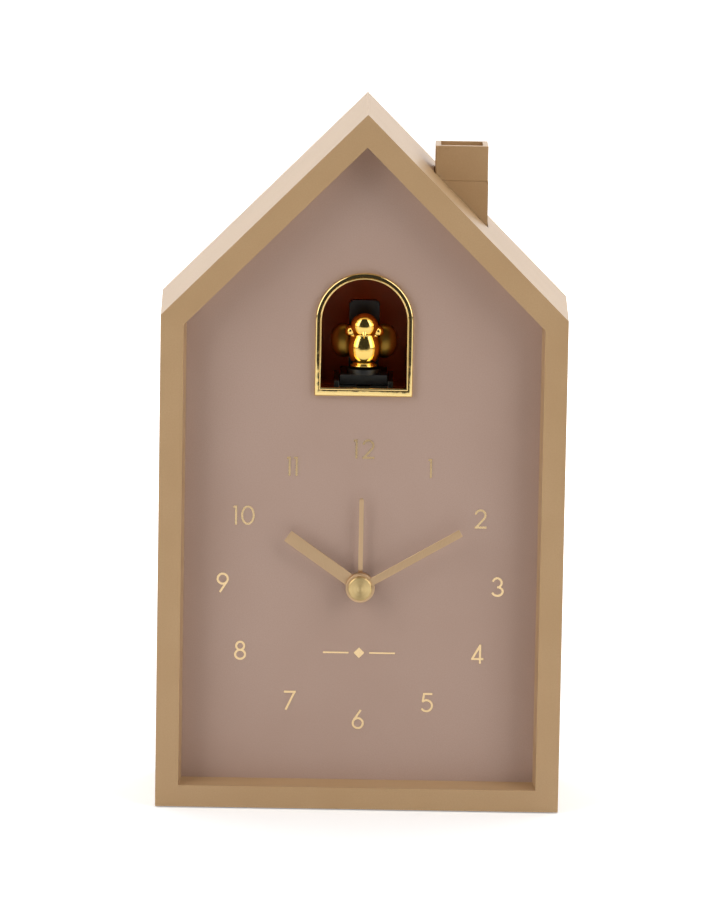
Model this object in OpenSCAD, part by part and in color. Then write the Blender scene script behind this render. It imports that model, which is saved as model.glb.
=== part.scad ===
// House-shaped cuckoo alarm clock: a moulded house shell with a recessed dial, an arched window that a
// bird slides out of, a chimney that is the snooze button, and the works behind the dial.
// Frame: millimetres, +Z up, -Y to the front, origin under the middle of the base.

/* [House] */
// Width across the front rim
front_w = 125; // [122:0.5:128]
// Height of the eaves at the front rim
eave_h = 154.2; // [153:0.1:156]
// Depth from the front rim to the back edge
house_d = 55; // [55:0.5:58]
// How far each side flares out from front to back
flare = 1.1; // [0.6:0.1:1.3]
// Width of the front rim
rim_w = 7.1; // [6.8:0.1:7.4]
// Thickness of the shell's walls
wall = 2.4; // [2.2:0.1:2.6]
// Depth of the dial behind the rim
dial_recess = 9.5; // [9.3:0.1:9.7]
// How far the rim's return wall narrows on its way to the dial
return_draft = 0.7; // [0.3:0.1:0.9]
// How far the rubber feet stand out of the base
foot_proud = 0.4; // [0.2:0.1:0.8]

/* [Dial] */
// Height of the centre of the hands above the base
hand_z = 69.5; // [69:0.1:70]
// Radius of the circle that the hour numerals stand on
numeral_ring = 42.6; // [40:0.1:43]
// Height of a numeral
numeral_h = 6; // [5:0.1:7]
// Width of a numeral's stroke
numeral_stroke = 0.66; // [0.5:0.02:0.9]
// Thickness of the printed foil
foil = 0.12; // [0.08:0.02:0.2]

/* [Hands] */
// Length of the minute hand from the centre
minute_len = 35.6; // [32:0.1:37]
// Width of the minute hand
minute_w = 2.4; // [2:0.1:3]
// Length of the hour hand from the centre
hour_len = 27.6; // [22:0.1:30]
// Width of the hour hand
hour_w = 3.9; // [3:0.1:4.5]
// Length of the alarm hand from the centre
alarm_len = 27.7; // [20:0.1:30]
// Width of the alarm hand
alarm_w = 1.4; // [1:0.1:2]
// Time shown, hour
hour_shown = 10; // [0:1:11]
// Time shown, minute
minute_shown = 10; // [0:1:59]
// Thickness of a hand
hand_t = 0.6; // [0.4:0.1:0.7]

/* [Window] */
// Half width of the window frame's flange
frame_r = 15.1; // [15:0.1:15.4]
// Half width of the window opening
window_r = 13.2; // [12.8:0.1:13.4]
// Height of the bottom edge of the flange
frame_z = 128.7; // [128.5:0.1:128.9]
// Height of the window sill
sill_z = 131.3; // [131.2:0.1:131.4]
// Height of the centre of the arch
arch_z = 151.9; // [151:0.1:153]
// How far the flange stands in front of the dial
frame_proud = 1.8; // [1.2:0.1:2.4]

/* [Bird] */
// How far the bird slides forward
bird_travel = 14; // [8:0.5:14]
// Distance of the bird's centre line behind the front rim
bird_back = 19.5; // [19.5:0.1:19.7]

/* [Chimney] */
// Width of the chimney
chimney_w = 16.5; // [15:0.1:17]
// Depth of the chimney from front to back
chimney_d = 15; // [13:0.1:16]
// Distance of the chimney's centre to the right of the middle
chimney_x = 29.35; // [29:0.1:30]
// Distance of the chimney's centre behind the middle of the house
chimney_y = 6; // [5.5:0.1:6.5]
// Height of the chimney's top
chimney_top = 204.8; // [203:0.1:208]
// Height of the seam under the chimney pot
seam_z = 193.9; // [193:0.1:196]
// Travel of the chimney as a button
button_travel = 2; // [1:0.1:2]

/* [Hidden] */

eps = 0.01;
front_y = -house_d / 2;
back_y = house_d / 2;
dial_y = front_y + dial_recess;
dial_t = 1.6;
dial_back = dial_y + dial_t;
ridge_h = eave_h + front_w / 2;
bird_y = front_y + bird_back;

/* Outlines and helpers */

// Inset of the outer wall from the front outline at a depth, negative where the house flares.
function skin(y) = -flare * (y - front_y) / house_d;
// House outline, inset from the front rim's outline, with its own base height.
function house(inset, base) = let (half = front_w / 2 - inset, top = ridge_h - inset * sqrt(2))
  [[-half, base], [half, base], [half, top - half], [0, top], [-half, top - half]];

// Solid between two house outlines at two depths.
module house_loft(inset0, base0, y0, inset1, base1, y1) {
  ring0 = [for (p = house(inset0, base0)) [p[0], y0, p[1]]];
  ring1 = [for (p = house(inset1, base1)) [p[0], y1, p[1]]];
  polyhedron(concat(ring0, ring1), [[4, 3, 2, 1, 0], [5, 6, 7, 8, 9],
    [1, 6, 5, 0], [2, 7, 6, 1], [3, 8, 7, 2], [4, 9, 8, 3], [0, 5, 9, 4]]);
}

// Flat shape drawn as seen from the front, made solid between two depths.
module slab(y0, y1) translate([0, y1, 0]) rotate([90, 0, 0]) linear_extrude(y1 - y0) children();
// Flat shape drawn in depth and height, made solid between two places across.
module xslab(x0, x1) translate([x0, 0, 0]) rotate([90, 0, 90]) linear_extrude(x1 - x0) children();
module box(x0, x1, y0, y1, z0, z1) translate([x0, y0, z0]) cube([x1 - x0, y1 - y0, z1 - z0]);
// Round bar along the depth, and across.
module ybar(r, x, z, y0, y1) translate([x, y0, z]) rotate([-90, 0, 0]) cylinder(r = r, h = y1 - y0, $fn = 48);
module xbar(r, y, z, x0, x1) translate([x0, y, z]) rotate([0, 90, 0]) cylinder(r = r, h = x1 - x0, $fn = 48);

// Arch outline: straight jambs up to the springing, then a half circle.
module arch(half, bottom, spring) {
  translate([-half, bottom]) square([2 * half, spring - bottom]);
  translate([0, spring]) circle(r = half, $fn = 96);
}

// Coil spring along +Z from z = 0, as a swept ring of short sections.
module coil(r, wire, length, turns) {
  sides = 6;
  steps = turns * 20;
  pts = [for (i = [0 : steps]) let (a = 360 * turns * i / steps, z = wire + (length - 2 * wire) * i / steps)
    for (j = [0 : sides - 1]) let (b = 360 * j / sides, q = r + wire * cos(b))
      [q * cos(a), q * sin(a), z + wire * sin(b)]];
  walls = [for (i = [0 : steps - 1]) for (j = [0 : sides - 1]) let (k = (j + 1) % sides)
    [i * sides + k, (i + 1) * sides + k, (i + 1) * sides + j, i * sides + j]];
  start = [for (j = [sides - 1 : -1 : 0]) j];
  end = [for (j = [0 : sides - 1]) steps * sides + j];
  polyhedron(pts, concat(walls, [start, end]), convexity = 10);
}

/* Gears */

// Tooth proportions: addendum, dedendum, pressure angle and the share of the pitch left for backlash.
tooth_add = 0.85;
tooth_ded = 1.2;
tooth_angle = 20;
tooth_fill = 0.8;
function tooth_half(m, up) = PI * m / 4 * tooth_fill - up * m * tan(tooth_angle);
// Gear outline with one tooth centred at the angle turn.
module gear2d(teeth, m, turn) {
  root = m * (teeth / 2 - tooth_ded);
  tip = m * (teeth / 2 + tooth_add);
  root_a = min(asin(tooth_half(m, -tooth_ded) / root), 172 / teeth);
  tip_a = asin(tooth_half(m, tooth_add) / tip);
  corners = [[root, -root_a], [tip, -tip_a], [tip, tip_a], [root, root_a]];
  polygon([for (k = [0 : teeth - 1]) for (c = corners) let (a = turn + 360 * k / teeth + c[1])
    c[0] * [cos(a), sin(a)]]);
}
// Turn that puts a gear in mesh with one beside it: dir is the direction from the first to the second.
function in_mesh(dir, turn, teeth, mate) = dir + 180 - 180 / mate + (dir - turn) * teeth / mate;
function polar(centre, dir, r) = centre + r * [cos(dir), sin(dir)];
// Running clearance added to a centre distance or a bore.
run = 0.06;

/* Hands and motion work: places as seen from the front */

axis = [0, hand_z];
motion_m = 0.4;
cannon_teeth = 12;
motion_teeth = 36;
motion_dir = -30;
motion_gap = motion_m * (cannon_teeth + motion_teeth) / 2 + run;
motion_at = polar(axis, motion_dir, motion_gap);
motion_pinion_teeth = 10;
hour_teeth = 40;
hour_m = 2 * (motion_gap - run) / (motion_pinion_teeth + hour_teeth);
stem_teeth = 12;
time_gap = motion_m * (motion_teeth + stem_teeth) / 2 + run;
time_at = polar(motion_at, motion_dir, time_gap);
alarm_teeth = 54;
alarm_gap = motion_m * (alarm_teeth + stem_teeth) / 2 + run;
alarm_dir = 180 + asin((hand_z - time_at[1]) / alarm_gap);
alarm_at = polar(axis, alarm_dir, alarm_gap);
motion_turn = in_mesh(motion_dir, 0, cannon_teeth, motion_teeth);
time_turn = in_mesh(motion_dir, motion_turn, motion_teeth, stem_teeth);
motion_pinion_turn = in_mesh(motion_dir, 0, hour_teeth, motion_pinion_teeth);
alarm_stem_turn = in_mesh(alarm_dir, 0, alarm_teeth, stem_teeth);

// Stepping train, from the centre wheel back to the rotor
fine_m = 0.2;
centre_m = 0.25;
centre_teeth = 60;
third_teeth = 64;
seconds_teeth = 50;
step_teeth = 48;
small_teeth = 8;
step_pinion_teeth = 10;
third_at = polar(axis, 90, centre_m * (centre_teeth + small_teeth) / 2 + run);
seconds_at = polar(third_at, 30, fine_m * (third_teeth + small_teeth) / 2 + run);
step_at = polar(seconds_at, -20, fine_m * (seconds_teeth + step_pinion_teeth) / 2 + run);
rotor_at = polar(step_at, -60, fine_m * (step_teeth + small_teeth) / 2 + run);
train_at = [third_at, seconds_at, step_at, rotor_at];
pivot_r = 0.4;
third_turn = in_mesh(90, 0, centre_teeth, small_teeth);
seconds_turn = in_mesh(30, third_turn, third_teeth, small_teeth);
step_turn = in_mesh(-20, seconds_turn, seconds_teeth, step_pinion_teeth);
rotor_turn = in_mesh(-60, step_turn, step_teeth, small_teeth);

// Depths of the works, counted back from the dial
case_y = dial_back + 0.2;
case_t = 1.3;
case_half = 28;
alarm_y = case_y + 1.5;
hour_y = alarm_y + 1.8;
motion_y = hour_y + 1.6;
plate_y = motion_y + 1.8;
plate_t = 0.8;
split_y = plate_y + 2;
rear_in = plate_y + 8.1;
rear_y = rear_in + case_t;
post_at = case_half - 5;

// Hands, counted forward from the dial
alarm_hand_y = dial_y - 3.3;
hour_hand_y = dial_y - 4.9;
minute_hand_y = dial_y - 6.5;
cap_y = dial_y - 8;
hub_r = 4.5;
cap_r = 3.7;
arbor_r = 0.8;
hour_tube_r = 1.55;
alarm_tube_r = 2.33;

/* Cuckoo: chamber, slide and drive */

chamber_half = 15;
chamber_t = 1.5;
floor_top = frame_z + 0.5;
floor_low = floor_top - chamber_t;
chamber_back = 12;
floor_end = 19;
rail_top = sill_z - 0.1;
rail_half = 9.15;
cheek_top = sill_z + 1.5;
cheek_gap = 0.25;
slot_half = 2.2;
carriage_half = 7.25;
carriage_z = rail_top + 0.25;
carriage_top = carriage_z + 2.95;
carriage_y = [bird_y - 4.6, 6];
post_half = 4.7;
post_top = 156.1;
post_corner = 1.5;
post_y = [bird_y + 6.8, bird_y + 9.6];
plinth_top = carriage_top + 1.5;
stem_y = [-1, 5];
rack_y = [-2, 18.4];
rack_top = floor_low - 0.3;
rack_m = 0.7;
rack_pitch_z = rack_top - 2.9;
pinion_teeth = 12;
pinion_y = 1;
pinion_z = rack_pitch_z - rack_m * pinion_teeth / 2 - run;
drive_m = 0.5;
drive_teeth = 24;
idler_pinion_teeth = 10;
idler_m = 0.4;
idler_teeth = 34;
motor_teeth = 10;
idler_dir = -55;
motor_dir = -70;
pinion_at = [pinion_y, pinion_z];
idler_at = polar(pinion_at, idler_dir, drive_m * (drive_teeth + idler_pinion_teeth) / 2 + run);
motor_at = polar(idler_at, motor_dir, idler_m * (idler_teeth + motor_teeth) / 2 + run);
idler_pinion_turn = in_mesh(idler_dir, 0, drive_teeth, idler_pinion_teeth);
motor_turn = in_mesh(motor_dir, 0, idler_teeth, motor_teeth);
shaft_r = 1;
stud_r = 0.8;
motor_r = 7.5;
motor_x = [-15.6, 4.4];
bracket_t = 1.2;
left_x = -7;
right_x = 9;
bracket_y = [pinion_y - 5.4, 13];

/* Chimney button */

chimney_gap = 0.3;
collar_t = 1.8;
collar_z = 170.5;
flange_top = collar_z - 0.3;
flange_t = 1.8;
rod_r = 2;
snooze_z = 157;
snooze_board_t = 1.6;
tact_half = 2.8;
switch_top = snooze_z + snooze_board_t + 2.7;
rod_low = switch_top + button_travel + 0.1;
pot_wall = 1.8;

/* Back cover, battery bay, boards and speaker */

cover_t = 2;
cover_y = back_y - 4.1;
cover_back = cover_y + cover_t;
cup_r = 11;
cup_depth = 3;
knob_r = 7.5;
flutes = 24;
knob_y = [cover_y - cup_depth + cover_t - 0.2, back_y - 0.5];
screw_at = [[-58.2, 12], [58.2, 12], [-58.2, 146], [58.2, 146], [0, 209.4]];
screw_r = 1.1;
boss_r = 3.4;
cell_r = 7.1;
cell_len = 49;
cell_y = 13.2;
cell_z = [15.4, 30.9];
bay = [-31, 31, 6, 40.3];
bay_y = cell_y - cell_r - 1.6;
bay_t = 1.2;
door = [-29, 29, 7.6, 38.7];
door_gap = 0.3;
board_y = 13.6;
board_t = 1.6;
board = [-38, 38, 45, 91];
switch_at = [[-24, 84], [24, 84]];
slot_w = 8;
slot_h = 3.4;
slider_half = [1.6, 1.4];
slide_travel = 2;
speaker_at = [0, 180];
speaker_r = 18;
grille_pitch = 3.8;
grille_r = 0.9;
foot_at = [[-52, -19], [52, -19], [-52, 19], [52, 19]];
foot_r = 5;
foot_pocket = 1.1;

/* House shell: drafted outer skin, front rim, return wall to the dial, bosses and the chimney collar */

module outer_skin() house_loft(0, 0, front_y, skin(back_y), 0, back_y);
module chimney_block(grow, z0, z1) box(chimney_x - chimney_w / 2 - grow, chimney_x + chimney_w / 2 + grow,
  chimney_y - chimney_d / 2 - grow, chimney_y + chimney_d / 2 + grow, z0, z1);
module rim_loft(inset, y0, y1) {
  in0 = inset + return_draft * (y0 - front_y) / dial_recess;
  in1 = inset + return_draft * (y1 - front_y) / dial_recess;
  house_loft(in0, in0, y0, in1, in1, y1);
}
module house_shell() color("#b59266") difference() {
  union() {
    difference() {
      outer_skin();
      house_loft(wall + skin(front_y + wall), wall, front_y + wall,
        wall + skin(back_y + 1), wall, back_y + 1);
    }
    rim_loft(rim_w - 2, front_y + 1, dial_y);
    for (p = screw_at) ybar(boss_r, p[0], p[1], dial_back + 0.5, cover_y - 0.1);
    intersection() {
      chimney_block(chimney_gap + collar_t, collar_z, chimney_top);
      house_loft(1, 1, front_y + 1, 1 + skin(back_y), 1, back_y);
    }
  }
  rim_loft(rim_w, front_y - 1, dial_y + 1);
  chimney_block(chimney_gap, collar_z - 1, ridge_h);
  for (p = screw_at) ybar(screw_r - 0.25, p[0], p[1], cover_y - 12, cover_y + 1);
  for (p = foot_at) translate([p[0], p[1], -1])
    cylinder(r = foot_r + 0.2, h = foot_pocket + 1 + foot_proud, $fn = 48);
  translate([-front_w, -house_d, -1]) cube([2 * front_w, 2 * house_d, 1 + foot_proud]);
}
module rubber_feet() color("#2b2b2c") for (p = foot_at) translate([p[0], p[1], 0])
  cylinder(r = foot_r, h = foot_pocket + foot_proud, $fn = 48);

/* Dial: plate, printed numerals and a small ornament */

module dial_plate() color("#b0968a") difference() {
  slab(dial_y, dial_back) polygon(house(rim_w + return_draft - 1.4, rim_w + return_draft - 1.4));
  slab(dial_y - 1, dial_back + 1) arch(window_r + 0.8, sill_z - 0.8, arch_z);
  ybar(3.8, 0, hand_z, dial_y - 1, dial_back + 1);
}

// Line drawn through points with square ends.
module pen(pts, w) {
  last = len(pts) - 1;
  side = [for (i = [0 : last])
    let (a = pts[max(i - 1, 0)], b = pts[min(i + 1, last)], d = (b - a) / norm(b - a)) [-d[1], d[0]] * w / 2];
  polygon(concat([for (i = [0 : last]) pts[i] + side[i]], [for (i = [last : -1 : 0]) pts[i] - side[i]]));
}
function sweep(c, rx, ry, a0, a1, n) = [for (i = [0 : n]) let (a = a0 + (a1 - a0) * i / n)
  c + [rx * cos(a), ry * sin(a)]];
// Open strokes of each figure in a box one unit tall, its base line at zero and its middle at x = 0.
bowl = 0.29;
high = 0.24;
function strokes(d) =
  d == 1 ? [[[0, 0], [0, 1]], [[-0.14, 0.93], [0, 0.93]]] :
  d == 2 ? [concat(sweep([0, 0.69], 0.255, 0.26, 172, -38, 16), [[-0.22, 0.05]]),
    [[-0.3, 0.05], [0.32, 0.05]]] :
  d == 3 ? [sweep([-0.02, 0.715], high - 0.01, high, 165, -90, 16),
    sweep([0, 0.26], bowl - 0.02, 0.225, 85, -165, 18)] :
  d == 4 ? [[[0.12, 0], [0.12, 1]], [[0.12, 0.95], [-0.28, 0.26]], [[-0.33, 0.24], [0.3, 0.24]]] :
  d == 5 ? [[[-0.1, 0.95], [0.29, 0.95]], [[-0.13, 1], [-0.2, 0.53]],
    sweep([-0.01, 0.33], bowl, bowl, 138, -148, 22)] :
  d == 6 ? [[[-0.21, 0.46], [0.14, 1]]] :
  d == 7 ? [[[-0.3, 0.95], [0.31, 0.95]], [[0.25, 0.95], [-0.2, 0]]] :
  d == 9 ? [[[0.21, 0.54], [-0.14, 0]]] : [];
// Closed loops of each figure: centre height and half sizes of the stroke's middle line.
function loops(d) =
  d == 0 ? [[0.5, 0.3, 0.45]] :
  d == 6 ? [[0.3, bowl - 0.03, bowl - 0.03]] :
  d == 8 ? [[0.735, 0.205, 0.21], [0.285, 0.255, 0.235]] :
  d == 9 ? [[0.7, bowl - 0.03, bowl - 0.03]] : [];
module loop(o, w) difference() {
  polygon(sweep([0, o[0]], o[1] + w / 2, o[2] + w / 2, 0, 352.5, 47));
  polygon(sweep([0, o[0]], o[1] - w / 2, o[2] - w / 2, 0, 352.5, 47));
}
function advance(d) = d == 1 ? 0.36 : 0.86;
module figure(d) scale(numeral_h) {
  for (s = strokes(d)) pen(s, numeral_stroke / numeral_h);
  for (o = loops(d)) loop(o, numeral_stroke / numeral_h);
}
module numeral(n) {
  if (n < 10) figure(n);
  else for (k = [0, 1]) {
    d = k == 0 ? 1 : n - 10;
    pitch = (advance(1) + advance(n - 10)) / 2;
    translate([(k - 0.5) * pitch * numeral_h, 0]) figure(d);
  }
}
module dial_numerals() color("#d8bd8e") slab(dial_y - foil, dial_y) for (n = [1 : 12])
  translate(polar(axis, 90 - 30 * n, numeral_ring) - [0, numeral_h / 2]) numeral(n);
module dial_ornament() color("#d8bd8e") slab(dial_y - foil, dial_y) translate([0, 48]) {
  for (side = [-1, 1]) translate([side * 7.2 - 4, -0.25]) square([8, 0.5]);
  polygon([[-1.7, 0], [0, -1.7], [1.7, 0], [0, 1.7]]);
}

/* Window frame: a flange with two beads round a groove, and a neck through the dial */

module arch_ring(y0, y1, out, low, in, sill) slab(y0, y1) difference() {
  arch(out, low, arch_z);
  arch(in, sill, arch_z);
}
module window_frame() color("#d4af5a") {
  face_y = dial_y - frame_proud;
  groove_y = face_y + 0.6;
  arch_ring(groove_y, dial_y, frame_r, frame_z, window_r, sill_z);
  arch_ring(face_y, groove_y, frame_r, frame_z, frame_r - 0.55, frame_z + 0.6);
  arch_ring(face_y + 0.2, groove_y, window_r + 0.5, sill_z - 0.6, window_r, sill_z);
  arch_ring(dial_y, dial_back + 1, window_r + 0.7, sill_z - 0.7, window_r, sill_z);
}

/* Cuckoo chamber: arched housing behind the window, with the shelf for the snooze board */

module cuckoo_chamber() color("#3a1710") difference() {
  union() {
    slab(dial_back, chamber_back + chamber_t) arch(chamber_half + chamber_t, floor_low, arch_z);
    box(-12, 12, chamber_back, floor_end, floor_low, floor_top);
    box(chamber_half, chimney_x + 10, chimney_y - 8, chimney_y + 8, snooze_z - 2, snooze_z);
  }
  slab(dial_back - 1, chamber_back) arch(chamber_half, floor_top, arch_z);
  box(-slot_half, slot_half, stem_y[0] - bird_travel - 0.3, stem_y[1] + 0.3, floor_low - 1, floor_top + 1);
}
module guide_rail() color("#26282a") difference() {
  box(-rail_half, rail_half, dial_back + 1.6, 8, floor_top, cheek_top);
  box(-carriage_half - cheek_gap, carriage_half + cheek_gap, dial_back, 9, rail_top, cheek_top + 1);
  box(-slot_half, slot_half, stem_y[0] - bird_travel - 0.3, stem_y[1] + 0.3, floor_top - 1, rail_top + 1);
}

/* Bird on its carriage: slider, post, stem through the slot and the rack under the floor */

module rack2d() {
  pitch = PI * rack_m;
  count = floor((rack_y[1] - rack_y[0]) / pitch) - 1;
  start = rack_y[0] + pitch;
  low = -tooth_add * rack_m;
  high_side = tooth_ded * rack_m;
  polygon(concat([[rack_y[1], rack_top], [rack_y[0], rack_top], [rack_y[0], rack_pitch_z + high_side]],
    [for (k = [0 : count - 1]) for (c = [[-tooth_half(rack_m, -tooth_ded), high_side],
      [-tooth_half(rack_m, tooth_add), low], [tooth_half(rack_m, tooth_add), low],
      [tooth_half(rack_m, -tooth_ded), high_side]]) [start + k * pitch + c[0], rack_pitch_z + c[1]]],
    [[rack_y[1], rack_pitch_z + high_side]]));
}
// Turn of the drive pinion that sets a tooth space under the rack tooth nearest to it.
function rack_turn() = let (pitch = PI * rack_m, ahead = (pinion_y - rack_y[0] - pitch) / pitch)
  90 - 180 / pinion_teeth + ahead * 360 / pinion_teeth;
module bird_carriage() color("#1e2021") {
  box(-carriage_half, carriage_half, carriage_y[0], carriage_y[1], carriage_z, carriage_top);
  slab(post_y[0], post_y[1]) polygon(concat([[-post_half, carriage_top], [post_half, carriage_top]],
    sweep([post_half - post_corner, post_top - post_corner], post_corner, post_corner, 0, 90, 8),
    sweep([post_corner - post_half, post_top - post_corner], post_corner, post_corner, 90, 180, 8)));
  box(-slot_half + 0.2, slot_half - 0.2, stem_y[0], stem_y[1], rack_top, carriage_z);
  xslab(-3.8, 3.8) rack2d();
}
module bird_plinth() color("#2d2f30") translate([0, bird_y, carriage_top])
  cylinder(r = 5.1, h = plinth_top - carriage_top, $fn = 64);
module bird_body() color("#d4af5a") translate([0, bird_y, plinth_top]) {
  rotate_extrude($fn = 72) polygon([[0, 0.05], [2.4, 0.05], [3.7, 0.9], [4.45, 2.6], [4.6, 4.5], [4.6, 7],
    [4.2, 9], [3.4, 10.6], [2.4, 11.4], [0, 11.6]]);
  translate([0, -0.6, 13.4]) sphere(r = 3.7, $fn = 48);
  translate([0, -3.6, 12.4]) rotate([110, 0, 0]) cylinder(r1 = 1.2, r2 = 0.3, h = 2.2, $fn = 32);
  for (side = [-1, 1]) translate([side * 3.9, 0.2, 11.7]) sphere(r = 1.75, $fn = 32);
}
module bird_wings() color("#c49a48") slab(post_y[0] - 1.8, post_y[0]) {
  for (side = [-1, 1]) translate([side * 5.4, 144]) circle(r = 5.1, $fn = 64);
  translate([-3, 141]) square([6, 7]);
}

/* Drive: bracket, motor, reduction gears and the pinion under the rack */

module drive_bracket() color("#d9d4c8") {
  difference() {
    union() {
      box(left_x, left_x + bracket_t, bracket_y[0], pinion_y + 5, 113, floor_low);
      box(right_x, right_x + bracket_t, bracket_y[0], bracket_y[1], 97.8, floor_low);
      box(left_x, right_x, bracket_y[0], bracket_y[0] + bracket_t, 98.6, 113.2);
      box(motor_x[1] + 0.1, motor_x[1] + 0.1 + bracket_t, bracket_y[0], motor_at[0] + motor_r, 98.6, 108.4);
      box(left_x - 5, left_x, bracket_y[0], pinion_y + 5, floor_low - bracket_t, floor_low);
      box(right_x + bracket_t, right_x + 6, bracket_y[0], bracket_y[1], floor_low - bracket_t, floor_low);
    }
    xbar(shaft_r + run, pinion_at[0], pinion_at[1], left_x - 1, right_x + 3);
    xbar(2, motor_at[0], motor_at[1], motor_x[1] - 1, motor_x[1] + 2);
  }
  xbar(stud_r, idler_at[0], idler_at[1], motor_x[1] + 0.3, right_x);
}
module drive_pinion() color("#e8e4da") {
  xslab(-3, 3) translate(pinion_at) gear2d(pinion_teeth, rack_m, rack_turn());
  xslab(5, 6.4) translate(pinion_at) gear2d(drive_teeth, drive_m, 0);
  xbar(shaft_r, pinion_at[0], pinion_at[1], left_x - 0.3, right_x + bracket_t + 0.3);
  xbar(1.6, pinion_at[0], pinion_at[1], 3, 5);
}
module idler_gear() color("#e8e4da") difference() {
  union() {
    xslab(4.8, 6.9) translate(idler_at) gear2d(idler_pinion_teeth, drive_m, idler_pinion_turn);
    xslab(6.9, 8) translate(idler_at) gear2d(idler_teeth, idler_m, 0);
  }
  xbar(stud_r + run, idler_at[0], idler_at[1], 4, 9);
}
module motor_pinion() color("#c8ccd0") {
  xslab(6.7, 8.3) translate(motor_at) gear2d(motor_teeth, idler_m, motor_turn);
  xbar(0.75, motor_at[0], motor_at[1], motor_x[1] - 5, 8.6);
}
module bird_motor() color("#b8bcc0") difference() {
  union() {
    intersection() {
      xbar(motor_r + 2.4, motor_at[0], motor_at[1], motor_x[0], motor_x[1]);
      box(motor_x[0], motor_x[1], motor_at[0] - motor_r, motor_at[0] + motor_r,
        motor_at[1] - 9.5, motor_at[1] + motor_r);
    }
    xbar(3, motor_at[0], motor_at[1], motor_x[0] - 1.6, motor_x[0]);
  }
  xbar(0.75 + run, motor_at[0], motor_at[1], motor_x[1] - 5.5, motor_x[1] + 1);
}
module home_switch() color("#303234") {
  box(-10.5, -5.2, 9, 17, floor_low - 6, floor_low);
  box(-5.2, 1, 18.7, 18.9, rack_top - 3, rack_top - 1);
  box(-6.4, -5.2, 17, 18.9, rack_top - 3, rack_top - 1);
}

/* Hands */

module baton(w, length, round_end) {
  translate([-w / 2, 0]) square([w, length - (round_end ? w / 2 : 0)]);
  if (round_end) translate([0, length - w / 2]) circle(r = w / 2, $fn = 32);
}
module hand(y, w, length, angle, bore, round_end) slab(y, y + hand_t) translate(axis) difference() {
  union() {
    circle(r = hub_r, $fn = 96);
    rotate(-angle) baton(w, length, round_end);
  }
  circle(r = bore, $fn = 48);
}
minute_angle = 6 * minute_shown;
hour_angle = 30 * hour_shown + minute_shown / 2;
module alarm_hand() color("#c9a768") hand(alarm_hand_y, alarm_w, alarm_len, 0, alarm_tube_r, true);
module hour_hand() color("#c9a768") hand(hour_hand_y, hour_w, hour_len, hour_angle, hour_tube_r, false);
module minute_hand() color("#c9a768")
  hand(minute_hand_y, minute_w, minute_len, minute_angle, arbor_r, false);
module hand_cap() color("#d9c48a") translate([0, minute_hand_y, hand_z]) rotate([90, 0, 0])
  rotate_extrude($fn = 96) polygon([[0, 0], [cap_r, 0], [cap_r, minute_hand_y - cap_y - 0.3],
    [cap_r - 0.3, minute_hand_y - cap_y], [0, minute_hand_y - cap_y]]);

/* Movement: two case halves, a plate between them, motion work and the stepping train */

module case_outline(inset) translate([-case_half + inset, hand_z - case_half + inset])
  square(2 * (case_half - inset));
module movement_front() color("#2c2e30") difference() {
  union() {
    difference() {
      slab(case_y, split_y) case_outline(0);
      slab(case_y + case_t, split_y + 1) case_outline(case_t);
    }
    ybar(3.6, 0, hand_z, dial_y - 1, case_y + 1);
    for (sx = [-1, 1]) for (sz = [-1, 1]) ybar(2, sx * post_at, hand_z + sz * post_at, case_y + 1, plate_y);
    ybar(1.5, alarm_at[0], alarm_at[1], case_y + 1, alarm_y - 0.2);
    ybar(1.5, time_at[0], time_at[1], case_y + 1, motion_y - 0.4);
  }
  ybar(alarm_tube_r + run, 0, hand_z, dial_y - 2, alarm_y);
  ybar(0.8 + run, alarm_at[0], alarm_at[1], case_y + 0.6, alarm_y);
  ybar(0.8 + run, time_at[0], time_at[1], motion_y - 1.4, motion_y);
}
module movement_rear() color("#34373a") difference() {
  slab(split_y, rear_y) case_outline(0);
  slab(split_y - 1, rear_in) case_outline(case_t);
  for (p = [time_at, alarm_at]) ybar(1.5 + run, p[0], p[1], rear_in - 1, rear_y + 1);
  for (p = train_at) ybar(pivot_r + run, p[0], p[1], rear_in - 1, rear_in + 0.8);
}
module movement_plate() color("#e4e0d4") difference() {
  union() {
    slab(plate_y, plate_y + plate_t) case_outline(case_t + 0.2);
    ybar(stud_r, motion_at[0], motion_at[1], hour_y + 0.1, plate_y + 0.1);
  }
  ybar(arbor_r + run, 0, hand_z, plate_y - 1, plate_y + 2);
  for (p = [time_at, alarm_at]) ybar(1.5 + run, p[0], p[1], plate_y - 1, plate_y + 2);
  for (p = train_at) ybar(pivot_r + run, p[0], p[1], plate_y - 1, plate_y + 2);
}
module alarm_wheel() color("#e8e4da") difference() {
  union() {
    slab(alarm_y, alarm_y + 1) translate(axis) gear2d(alarm_teeth, motion_m, 0);
    ybar(alarm_tube_r, 0, hand_z, alarm_hand_y, alarm_y + 1);
  }
  ybar(hour_tube_r + run, 0, hand_z, alarm_hand_y - 1, alarm_y + 2);
}
module hour_wheel() color("#d9c7a0") difference() {
  union() {
    slab(hour_y, hour_y + 1) translate(axis) gear2d(hour_teeth, hour_m, 0);
    ybar(hour_tube_r, 0, hand_z, hour_hand_y, hour_y + 1);
  }
  ybar(arbor_r + run, 0, hand_z, hour_hand_y - 1, hour_y + 2);
}
module minute_arbor() color("#c8ccd0") {
  ybar(arbor_r, 0, hand_z, minute_hand_y, plate_y + 3.4);
  slab(motion_y, motion_y + 1.2) translate(axis) gear2d(cannon_teeth, motion_m, 0);
}
module motion_wheel() color("#e8e4da") difference() {
  union() {
    slab(motion_y + 0.1, motion_y + 1.1) translate(motion_at) gear2d(motion_teeth, motion_m, motion_turn);
    slab(hour_y - 0.1, motion_y + 0.1) translate(motion_at)
      gear2d(motion_pinion_teeth, hour_m, motion_pinion_turn);
  }
  ybar(stud_r + run, motion_at[0], motion_at[1], hour_y - 1, plate_y);
}
module arbor(at, y0) ybar(pivot_r, at[0], at[1], y0, rear_in + 0.7);
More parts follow.
